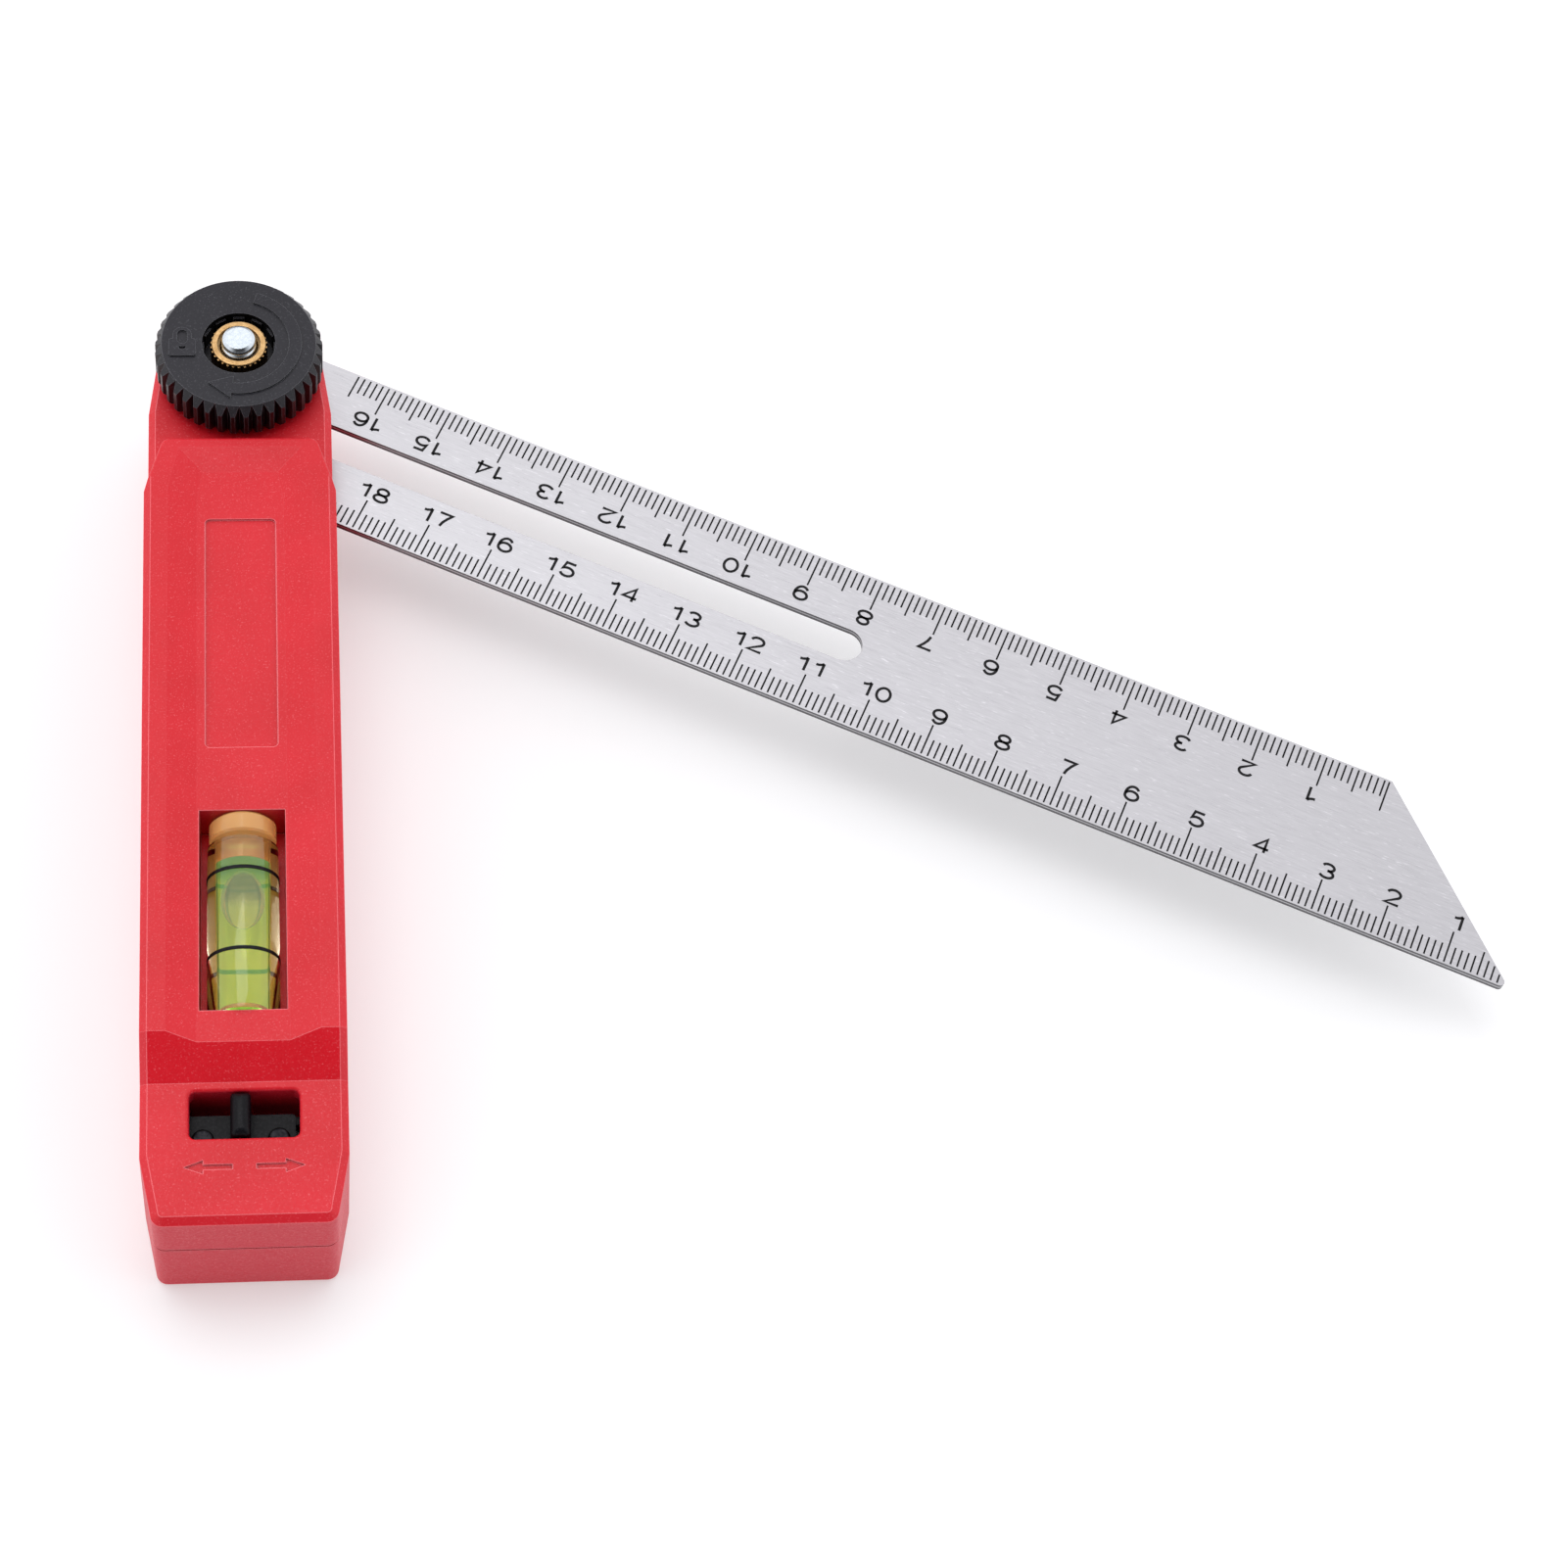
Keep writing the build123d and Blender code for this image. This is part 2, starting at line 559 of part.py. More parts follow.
# pale strip that lies in the cradle under the tube
with BuildPart() as vial_reflector:
    with BuildSketch(Plane.XZ.offset(-TUBE_FAR_Y)):
        with Locations((0, VIAL_AXIS_Z)):
            with BuildLine():
                under = CenterArc((0, VIAL_AXIS_Z), REFLECTOR_R[1], -90 - REFLECTOR_HALF, 2 * REFLECTOR_HALF)
                over = CenterArc((0, VIAL_AXIS_Z), REFLECTOR_R[0], -90 - REFLECTOR_HALF, 2 * REFLECTOR_HALF)
                Line(under @ 0, over @ 0)
                Line(under @ 1, over @ 1)
            make_face()
    extrude(amount=TUBE_FAR_Y - WINDOW_NEAR_Y - END_PLAY)

vial_reflector.part.label = "vial_reflector"
export_step(vial_reflector.part, "parts/vial_reflector.step")

with BuildPart() as vial_tube:
    vial_turn(
        (TUBE_FAR_Y, VIAL_BORE_R),
        (TUBE_FAR_Y, VIAL_R),
        (WINDOW_NEAR_Y + END_PLAY, VIAL_R),
        (WINDOW_NEAR_Y + END_PLAY, VIAL_BORE_R),
    )

vial_tube.part.label = "vial_tube"
export_step(vial_tube.part, "parts/vial_tube.step")

with BuildPart() as vial_end_plugs:
    vial_turn(
        (FAR_PLUG_Y, 0),
        (FAR_PLUG_Y, LIQUID_R),
        (TUBE_FAR_Y + RUNNING_GAP, LIQUID_R),
        (TUBE_FAR_Y + PLUG_NECK, PLUG_FLANGE_R - PLUG_EASE),
        (TUBE_FAR_Y + PLUG_NECK + PLUG_EASE, PLUG_FLANGE_R),
        (WINDOW_FAR_Y - END_PLAY - PLUG_ROUND[0], PLUG_FLANGE_R),
        (WINDOW_FAR_Y - END_PLAY, PLUG_FLANGE_R - PLUG_ROUND[1]),
        (WINDOW_FAR_Y - END_PLAY, 0),
    )
    vial_disc(LIQUID_R, WINDOW_NEAR_Y + END_PLAY, NEAR_PLUG_Y)

vial_end_plugs.part.label = "vial_end_plugs"
export_step(vial_end_plugs.part, "parts/vial_end_plugs.step")

with BuildPart() as vial_bubble:
    bubble_shape = scale(Solid.make_sphere(1.0), by=BUBBLE_AXES, mode=Mode.PRIVATE)
    with Locations((0, BUBBLE_Y, VIAL_AXIS_Z + BUBBLE_TOP - BUBBLE_AXES[2])):
        add(bubble_shape)

vial_bubble.part.label = "vial_bubble"
export_step(vial_bubble.part, "parts/vial_bubble.step")

with BuildPart() as vial_liquid:
    vial_disc(LIQUID_R, NEAR_PLUG_Y + RUNNING_GAP, FAR_PLUG_Y - RUNNING_GAP)
    add(vial_bubble.part, mode=Mode.SUBTRACT)

vial_liquid.part.label = "vial_liquid"
export_step(vial_liquid.part, "parts/vial_liquid.step")

with BuildPart() as vial_rings:
    for ring_y in RING_YS:
        vial_turn(
            (ring_y - RING_HALF, RING_R[0]),
            (ring_y - RING_HALF, RING_R[1]),
            (ring_y + RING_HALF, RING_R[1]),
            (ring_y + RING_HALF, RING_R[0]),
        )

vial_rings.part.label = "vial_rings"
export_step(vial_rings.part, "parts/vial_rings.step")


# ---------------------------------------------------------------- sliding catch
CATCH_TRAY_Z = SEAM_Z + 0.1
TRAY_YS = (-117.7, -124.2)
TRAY_FLOOR = 1.0
FIN_Y = -119.15
FIN_LENGTH = 6.3
RIVET_HOLE_R = 0.75
TRAY_RAIL_Z = CATCH_PLATE_Z - RUNNING_GAP
CARRIAGE_YS = (-117.8, -123.8)
CARRIAGE_HALF = 7.2
CARRIAGE_THICK = 1.2
SPRING_Y = -120.6
TRAY_INNER = 23.4
SPRING_WIDTH = 3.0
SPRING_HALF = 11.0
SPRING_THICK = 0.3
TRAY_SLOT_WIDTH = SPRING_WIDTH + 0.6
CONTACT_THICK = 0.3
CONTACT_SIZE = (12.2, 2.6)
RIVET_SHANK_R = 0.7
RIVET_HEAD = (1.5, 0.9)
CARRIAGE_TOP_Z = CATCH_PLATE_Z + CARRIAGE_THICK
CONTACT_Z = CATCH_PLATE_Z - CONTACT_THICK - 0.02
SPRING_TOP_Z = CONTACT_Z - 0.1
RIVET_PLACES = [(CATCH_X - RIVET_OFFSET, RIVET_Y), (CATCH_X + RIVET_OFFSET, RIVET_Y)]

with BuildPart() as catch_tray:
    with BuildSketch(Plane.XY.offset(CATCH_TRAY_Z)):
        with Locations((0, sum(TRAY_YS) / 2)):
            RectangleRounded(CATCH_CAVITY[0] - 0.2, TRAY_YS[0] - TRAY_YS[1], 0.7)
    extrude(amount=TRAY_RAIL_Z - CATCH_TRAY_Z)
    with BuildSketch(Plane.XY.offset(CATCH_TRAY_Z + TRAY_FLOOR)):
        with Locations((0, SPRING_Y)):
            Rectangle(TRAY_INNER, TRAY_SLOT_WIDTH)
    extrude(amount=TRAY_RAIL_Z, mode=Mode.SUBTRACT)

catch_tray.part.label = "catch_tray"
export_step(catch_tray.part, "parts/catch_tray.step")

with BuildPart() as catch_spring:
    with BuildSketch(Plane.XZ.offset(-SPRING_Y - SPRING_WIDTH / 2)):
        with BuildLine():
            low_z = CATCH_TRAY_Z + TRAY_FLOOR + RUNNING_GAP
            rise_z = low_z + SPRING_THICK
            upper = ThreePointArc((-SPRING_HALF, rise_z), (0, SPRING_TOP_Z), (SPRING_HALF, rise_z))
            crown_z = SPRING_TOP_Z - SPRING_THICK
            lower = ThreePointArc((-SPRING_HALF, low_z), (0, crown_z), (SPRING_HALF, low_z))
            Line(upper @ 0, lower @ 0)
            Line(upper @ 1, lower @ 1)
        make_face()
    extrude(amount=SPRING_WIDTH)

catch_spring.part.label = "catch_spring"
export_step(catch_spring.part, "parts/catch_spring.step")

with BuildPart() as catch_slider:
    with BuildSketch(Plane.XY.offset(CATCH_PLATE_Z)):
        with Locations((CATCH_X, sum(CARRIAGE_YS) / 2)):
            RectangleRounded(2 * CARRIAGE_HALF, CARRIAGE_YS[0] - CARRIAGE_YS[1], 0.5)
        with Locations(*RIVET_PLACES):
            Circle(RIVET_HOLE_R, mode=Mode.SUBTRACT)
    extrude(amount=CARRIAGE_THICK)
    with BuildSketch(Plane.XY.offset(CATCH_PLATE_Z)):
        with Locations((CATCH_X, FIN_Y)):
            RectangleRounded(FIN_WIDTH, FIN_LENGTH, 0.5)
    extrude(amount=FIN_TOP_Z - CATCH_PLATE_Z)
    fin_top = catch_slider.faces().sort_by(Axis.Z)[-1]
    fillet(fin_top.edges(), 0.45 * FIN_WIDTH)

catch_slider.part.label = "catch_slider"
export_step(catch_slider.part, "parts/catch_slider.step")

with BuildPart() as catch_rivets:
    for x, y in RIVET_PLACES:
        with Locations((x, y, CONTACT_Z)):
            Cylinder(RIVET_SHANK_R, CARRIAGE_TOP_Z - CONTACT_Z, align=BASE)
        with Locations((x, y, CARRIAGE_TOP_Z)):
            Cylinder(RIVET_HEAD[0], RIVET_HEAD[1], align=BASE)
    fillet(catch_rivets.edges().group_by(Axis.Z)[-1], 0.5)

catch_rivets.part.label = "catch_rivets"
export_step(catch_rivets.part, "parts/catch_rivets.step")

with BuildPart() as catch_plate:
    with BuildSketch(Plane.XY.offset(CONTACT_Z)):
        with Locations((CATCH_X, SPRING_Y - 0.3)):
            Rectangle(CONTACT_SIZE[0], CONTACT_SIZE[1])
        with Locations(*RIVET_PLACES):
            Circle(RIVET_HOLE_R, mode=Mode.SUBTRACT)
    extrude(amount=CONTACT_THICK)

catch_plate.part.label = "catch_plate"
export_step(catch_plate.part, "parts/catch_plate.step")
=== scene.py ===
"""Looks of the sliding T-bevel: materials for the CAD nodes, the rule printed on the blade, and the
clear bodies of the spirit level, with a camera, a floor and light. Metres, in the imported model's frame.
"""

import json
from math import cos, pi, radians, sin

import bmesh
import bpy
from mathutils import Matrix, Vector


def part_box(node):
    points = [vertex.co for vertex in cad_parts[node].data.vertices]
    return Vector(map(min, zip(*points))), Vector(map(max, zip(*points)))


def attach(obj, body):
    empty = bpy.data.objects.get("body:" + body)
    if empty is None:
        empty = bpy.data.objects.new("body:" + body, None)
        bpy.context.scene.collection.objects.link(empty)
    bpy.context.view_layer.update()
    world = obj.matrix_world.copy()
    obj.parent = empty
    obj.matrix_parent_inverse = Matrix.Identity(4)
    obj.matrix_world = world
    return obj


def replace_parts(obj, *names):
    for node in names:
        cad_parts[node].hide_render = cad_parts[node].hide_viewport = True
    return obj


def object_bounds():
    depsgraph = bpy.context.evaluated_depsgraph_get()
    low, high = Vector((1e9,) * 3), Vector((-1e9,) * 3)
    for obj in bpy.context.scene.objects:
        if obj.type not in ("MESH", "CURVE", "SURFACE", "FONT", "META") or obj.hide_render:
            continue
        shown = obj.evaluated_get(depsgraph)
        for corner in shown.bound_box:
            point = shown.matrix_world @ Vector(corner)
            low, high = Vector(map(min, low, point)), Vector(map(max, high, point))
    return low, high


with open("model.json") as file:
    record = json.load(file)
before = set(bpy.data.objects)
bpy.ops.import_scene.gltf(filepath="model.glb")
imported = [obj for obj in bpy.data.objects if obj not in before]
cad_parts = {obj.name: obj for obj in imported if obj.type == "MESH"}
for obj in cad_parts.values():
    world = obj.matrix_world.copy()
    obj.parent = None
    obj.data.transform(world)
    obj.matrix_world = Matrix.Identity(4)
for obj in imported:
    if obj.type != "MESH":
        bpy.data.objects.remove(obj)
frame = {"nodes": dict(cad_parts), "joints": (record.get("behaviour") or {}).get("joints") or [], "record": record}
cad_low, cad_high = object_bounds()

MM = 0.001
nodes = frame["nodes"]

# the blade's directions in plan, from the pivot to the tip and to the left of that, and its top face
slide_axis = next(j["axis"] for j in frame["joints"] if j["name"] == "blade_slide")
ALONG = -Vector(slide_axis)
ACROSS = Vector((-ALONG.y, ALONG.x, 0))
BLADE_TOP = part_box("blade")[1].z


# ---------------------------------------------------------------- camera
CAMERA_PLACE = Vector((8.0, -316.53, 469.05)) * MM
CAMERA_PITCH = radians(60.52)
CAMERA_YAW = radians(13.39)
CAMERA_ROLL = radians(-10.86)
CAMERA_LENS = 84.19
CAMERA_SHIFT = 0.04
CAMERA_NEAR = 0.01


def make_camera():
    """Camera above and beyond the handle's near end, turned a little towards the blade."""
    forward = Vector(
        (sin(CAMERA_YAW) * cos(CAMERA_PITCH), cos(CAMERA_YAW) * cos(CAMERA_PITCH), -sin(CAMERA_PITCH))
    )
    level = Vector((cos(CAMERA_YAW), -sin(CAMERA_YAW), 0))
    down = forward.cross(level)
    right = cos(CAMERA_ROLL) * level + sin(CAMERA_ROLL) * down
    up = right.cross(forward)
    turn = Matrix((right, up, -forward)).transposed()
    data = bpy.data.cameras.new("camera")
    data.lens = CAMERA_LENS
    data.shift_x = CAMERA_SHIFT
    data.clip_start = CAMERA_NEAR
    camera = bpy.data.objects.new("camera", data)
    camera.matrix_world = Matrix.Translation(CAMERA_PLACE) @ turn.to_4x4()
    bpy.context.scene.collection.objects.link(camera)
    bpy.context.scene.camera = camera


# ---------------------------------------------------------------- node helpers
def add_node(tree, kind, settings=None, **values):
    """New node with attributes from settings, and sockets set or linked by name, _ for a space."""
    made = tree.nodes.new(kind)
    for name, value in (settings or {}).items():
        setattr(made, name, value)
    for name, value in values.items():
        put(tree, made.inputs[name.replace("_", " ")], value)
    return made


def put(tree, socket, value):
    """Link a socket to another node's output, or set its value."""
    if isinstance(value, bpy.types.NodeSocket):
        tree.links.new(value, socket)
    else:
        socket.default_value = value


def mix_colours(tree, share, first, second):
    """Colour between first and second; share is a number or a socket."""
    made = add_node(tree, "ShaderNodeMix", {"data_type": "RGBA"})
    put(tree, made.inputs["Factor"], share)
    put(tree, made.inputs[6], first)
    put(tree, made.inputs[7], second)
    return made.outputs[2]


def ranged(tree, value, low, high, from_low=0.0, from_high=1.0):
    """Value carried from one range to another, clamped."""
    made = add_node(
        tree,
        "ShaderNodeMapRange",
        Value=value,
        From_Min=from_low,
        From_Max=from_high,
        To_Min=low,
        To_Max=high,
    )
    return made.outputs[0]


def noise(tree, vector, scale, detail=2.0, rough=0.5):
    """Noise texture's value; scale is in cells per metre."""
    made = add_node(
        tree, "ShaderNodeTexNoise", Vector=vector, Scale=scale, Detail=detail, Roughness=rough
    )
    return made.outputs[0]


def new_material(name):
    """Empty Principled material: (material, tree, shader, object coordinates)."""
    made = bpy.data.materials.new(name)
    made.use_nodes = True
    tree = made.node_tree
    shader = tree.nodes["Principled BSDF"]
    coords = tree.nodes.new("ShaderNodeTexCoord").outputs["Object"]
    return made, tree, shader, coords


def scaled(tree, vector, factors):
    """Vector multiplied part by part."""
    made = add_node(tree, "ShaderNodeVectorMath", {"operation": "MULTIPLY"})
    tree.links.new(vector, made.inputs[0])
    made.inputs[1].default_value = factors
    return made.outputs[0]


def bump(tree, height, distance, strength, normal=None):
    """Normal roughened by a height; distance in metres."""
    made = add_node(tree, "ShaderNodeBump", Height=height, Distance=distance, Strength=strength)
    if normal is not None:
        tree.links.new(normal, made.inputs["Normal"])
    return made.outputs[0]


def part_of(tree, vector, axis):
    """X, Y or Z of a vector."""
    return add_node(tree, "ShaderNodeSeparateXYZ", Vector=vector).outputs[axis]


def surface_normal(tree):
    """Normal of the surface, before any bump."""
    return tree.nodes.new("ShaderNodeNewGeometry").outputs["Normal"]


EDGE_COSINES = (0.94, 0.998)
UPRIGHT_COSINES = (0.15, 0.75)


def eased_normal(tree, radius):
    """Normal of the surface with its edges rounded."""
    return add_node(tree, "ShaderNodeBevel", {"samples": 6}, Radius=radius).outputs[0]


def edge_mask(tree, eased):
    """Socket that is 1 on the edges that an eased normal rounds, and 0 elsewhere: where a painted highlight goes.
    """
    dot = add_node(tree, "ShaderNodeVectorMath", {"operation": "DOT_PRODUCT"})
    tree.links.new(eased, dot.inputs[0])
    tree.links.new(surface_normal(tree), dot.inputs[1])
    return ranged(tree, dot.outputs["Value"], 1.0, 0.0, *EDGE_COSINES)


def uprightness(tree):
    """Socket that is 1 on upright faces and 0 on level ones."""
    level = add_node(tree, "ShaderNodeMath", {"operation": "ABSOLUTE"})
    tree.links.new(part_of(tree, surface_normal(tree), "Z"), level.inputs[0])
    return ranged(tree, level.outputs[0], 1.0, 0.0, *UPRIGHT_COSINES)


def toned(colour, factor):
    """Colour made lighter or darker by a factor."""
    return [min(1.0, factor * c) for c in colour[:3]] + [1]


# ---------------------------------------------------------------- materials
# noise scales are in cells per metre, and a stretch is one for each axis
GRAIN_CELLS = 2600
# cells of the pale specks, which are painted glints of the grain
GLINT_CELLS = 4200
PLASTIC_CLOUD_CELLS = 70
METAL_CLOUD_CELLS = 45
FLOW_CELLS = 260
INK_CELLS = 2400
BRUSH_STRETCH = (320, 8000, 900)
DASH_STRETCH = (700, 5200, 900)
DASH_TONE = 1.25
# darkening of the blade's upright faces, which is painted shade
CUT_SHADE_TONE = 0.3
BRUSH_DEPTH = 0.012 * MM
BLADE_EDGE = 0.06 * MM
TURNED_DEPTH = 0.02 * MM
TURNED_EDGE = 0.1 * MM
FLOW_TONE = 1.04
FLOW_DEPTH = 0.01 * MM
# depth below the top and half width of a painted highlight line on the blade's upright faces
HIGHLIGHT_BAND_DEPTH = 0.55 * MM
HIGHLIGHT_BAND_HALF = 0.12 * MM
PLASTIC_BUMP = 0.5
METAL_BUMP = 0.3
CLEAR_BUMP = 0.15
# painted shade in crevices: its colour, and its greatest share
PAINTED_CREVICE_SHADE = (0.10, 0.0, 0.002, 1)
CREVICE_SHADE_SHARE = 0.75
# strength of the painted emission of clear bodies
PAINTED_GLOW_STRENGTH = 0.5
INK_SHINE = 0.15
INK_LIFT = 0.015


def moulded_plastic(name, colours, rough, grain_depth, shine, edge_radius, painted_glow=0.0, painted_shade_reach=0.0):
    """Moulded plastic with a spark-eroded grain; colours are deep, pale, edge and upright face.

    The edge colour is a painted highlight on rounded edges and on pale specks, which are painted glints
    of the grain, and the upright face colour is painted shade on upright faces. The argument after
    edge_radius is the strength of a painted emission of the part's own, and the last one how near a wall
    paints shade into its neighbour.
    """
    deep, pale, edge, side = colours
    made, tree, shader, coords = new_material(name)
    grain = noise(tree, coords, GRAIN_CELLS, 3.0, 0.65)
    cloud = noise(tree, coords, PLASTIC_CLOUD_CELLS, 4.0, 0.6)
    eased = eased_normal(tree, edge_radius)
    body = mix_colours(tree, ranged(tree, cloud, 0, 1, 0.3, 0.7), deep, pale)
    # painted shade: upright faces take the darker upright face colour
    body = mix_colours(tree, uprightness(tree), body, side)
    # painted shade in crevices, where ambient occlusion finds a near wall
    if painted_shade_reach:
        shade = add_node(tree, "ShaderNodeAmbientOcclusion", {"samples": 4}, Distance=painted_shade_reach)
        shade_share = ranged(tree, shade.outputs["AO"], CREVICE_SHADE_SHARE, 0, 0.1, 0.6)
        body = mix_colours(tree, shade_share, body, PAINTED_CREVICE_SHADE)
    # painted glints: pale specks of the grain in the edge highlight colour
    grain_glint = ranged(tree, noise(tree, coords, GLINT_CELLS, 1.0), 0, 0.3, 0.6, 0.8)
    body = mix_colours(tree, grain_glint, body, edge)
    # painted highlight on the edges that the eased normal rounds
    body = mix_colours(tree, edge_mask(tree, eased), body, edge)
    put(tree, shader.inputs["Base Color"], body)
    put(tree, shader.inputs["Roughness"], ranged(tree, grain, rough - 0.08, rough + 0.08, 0.3, 0.7))
    put(tree, shader.inputs["Normal"], bump(tree, grain, grain_depth, PLASTIC_BUMP, eased))
    shader.inputs["Specular IOR Level"].default_value = shine
    # painted emission: the part gives off light though it is no lamp
    if painted_glow:
        shader.inputs["Emission Color"].default_value = pale
        shader.inputs["Emission Strength"].default_value = painted_glow
    return made


def brushed_metal(name, dark, light, rough):
    """Metal brushed along the blade, with short scratches; its upright faces are painted dark as shade,
    with one painted highlight line along them.
    """
    made, tree, shader, coords = new_material(name)
    shader.inputs["Metallic"].default_value = 1.0
    spin = add_node(tree, "ShaderNodeVectorRotate", {"rotation_type": "Z_AXIS"}, Vector=coords)
    spin.inputs["Angle"].default_value = -ALONG.to_2d().angle_signed(Vector((1, 0)))
    fine = noise(tree, scaled(tree, spin.outputs[0], BRUSH_STRETCH), 1.0, 3.0, 0.6)
    dash = noise(tree, scaled(tree, spin.outputs[0], DASH_STRETCH), 1.0, 1.0, 0.4)
    cloud = noise(tree, coords, METAL_CLOUD_CELLS, 3.0)
    body = mix_colours(tree, ranged(tree, fine, 0, 1, 0.3, 0.7), dark, light)
    body = mix_colours(tree, ranged(tree, dash, 0.0, 0.8, 0.66, 0.78), body, toned(light, DASH_TONE))
    body = mix_colours(tree, ranged(tree, cloud, 0.0, 0.25, 0.4, 0.7), body, light)
    # painted shade on upright faces, with a painted highlight line just below the top
    highlight_band = add_node(tree, "ShaderNodeMath", {"operation": "COMPARE"})
    tree.links.new(part_of(tree, coords, "Z"), highlight_band.inputs[0])
    highlight_band.inputs[1].default_value = BLADE_TOP - HIGHLIGHT_BAND_DEPTH
    highlight_band.inputs[2].default_value = HIGHLIGHT_BAND_HALF
    shaded_cut = mix_colours(tree, highlight_band.outputs[0], toned(dark, CUT_SHADE_TONE), light)
    body = mix_colours(tree, uprightness(tree), body, shaded_cut)
    put(tree, shader.inputs["Base Color"], body)
    put(tree, shader.inputs["Roughness"], ranged(tree, fine, rough - 0.06, rough + 0.08, 0.3, 0.7))
    eased = eased_normal(tree, BLADE_EDGE)
    put(tree, shader.inputs["Normal"], bump(tree, fine, BRUSH_DEPTH, METAL_BUMP, eased))
    return made


def speckled_metal(name, dark, light, rough, cells):
    """Plated or turned metal with a fine crystalline speckle, of a number of cells per metre."""
    made, tree, shader, coords = new_material(name)
    shader.inputs["Metallic"].default_value = 1.0
    fine = noise(tree, coords, cells, 3.0, 0.65)
    broad = noise(tree, coords, cells / 8, 2.0)
    body = mix_colours(tree, ranged(tree, fine, 0, 1, 0.35, 0.65), dark, light)
    put(tree, shader.inputs["Base Color"], body)
    put(tree, shader.inputs["Roughness"], ranged(tree, broad, rough - 0.05, rough + 0.1, 0.3, 0.7))
    eased = eased_normal(tree, TURNED_EDGE)
    put(tree, shader.inputs["Normal"], bump(tree, fine, TURNED_DEPTH, METAL_BUMP, eased))
    return made


def clear_body(name, tint, ior, rough=0.0, absorb=None, clear=1.0, painted_glow=None, far_shade=None):
    """Clear plastic or liquid with faint flow marks.

    absorb is the colour that depth gives, and its density. The argument after clear is the colour of a
    painted emission, which stands for light that comes through the body. The last argument is the
    colour of painted shade at the far end, and the places along Y where it starts and is complete.
    """
    made, tree, shader, coords = new_material(name)
    shader.inputs["Transmission Weight"].default_value = clear
    shader.inputs["IOR"].default_value = ior
    flow = noise(tree, coords, FLOW_CELLS, 2.0)
    body = mix_colours(tree, ranged(tree, flow, 0, 1, 0.3, 0.7), tint, toned(tint, FLOW_TONE))
    # painted shade towards the far end, by place along Y
    if far_shade:
        colour, start, end = far_shade
        body = mix_colours(tree, ranged(tree, part_of(tree, coords, "Y"), 0, 1, start, end), body, colour)
    put(tree, shader.inputs["Base Color"], body)
    put(tree, shader.inputs["Roughness"], ranged(tree, flow, rough, rough + 0.03, 0.45, 0.8))
    put(tree, shader.inputs["Normal"], bump(tree, flow, FLOW_DEPTH, CLEAR_BUMP))
    # painted emission, standing for light that comes through the body
    if painted_glow:
        shader.inputs["Emission Color"].default_value = painted_glow
        shader.inputs["Emission Strength"].default_value = PAINTED_GLOW_STRENGTH
    if absorb:
        colour, density = absorb
        depth = add_node(tree, "ShaderNodeVolumeAbsorption", Color=colour, Density=density)
        tree.links.new(depth.outputs[0], tree.nodes["Material Output"].inputs["Volume"])
    return made


def printed_ink(name, colour, rough):
    """Thin printed ink, a little uneven."""
    made, tree, shader, coords = new_material(name)
    shader.inputs["Specular IOR Level"].default_value = INK_SHINE
    patch = noise(tree, coords, INK_CELLS, 2.0)
    paler = [c + INK_LIFT for c in colour[:3]] + [1]
    body = mix_colours(tree, ranged(tree, patch, 0, 1, 0.4, 0.75), colour, paler)
    put(tree, shader.inputs["Base Color"], body)
    put(tree, shader.inputs["Roughness"], ranged(tree, patch, rough, rough + 0.15, 0.3, 0.7))
    return made


# painted shade: the liquid is darker beyond the far ring, and the bubble in its far half
FAR_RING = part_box("vial_rings")[1].y
RING_SHADE = 0.9 * MM
BUBBLE_MIDDLE = (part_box("vial_bubble")[0].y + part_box("vial_bubble")[1].y) / 2
BUBBLE_SHADE = (BUBBLE_MIDDLE - 0.6 * MM, BUBBLE_MIDDLE + 0.8 * MM)

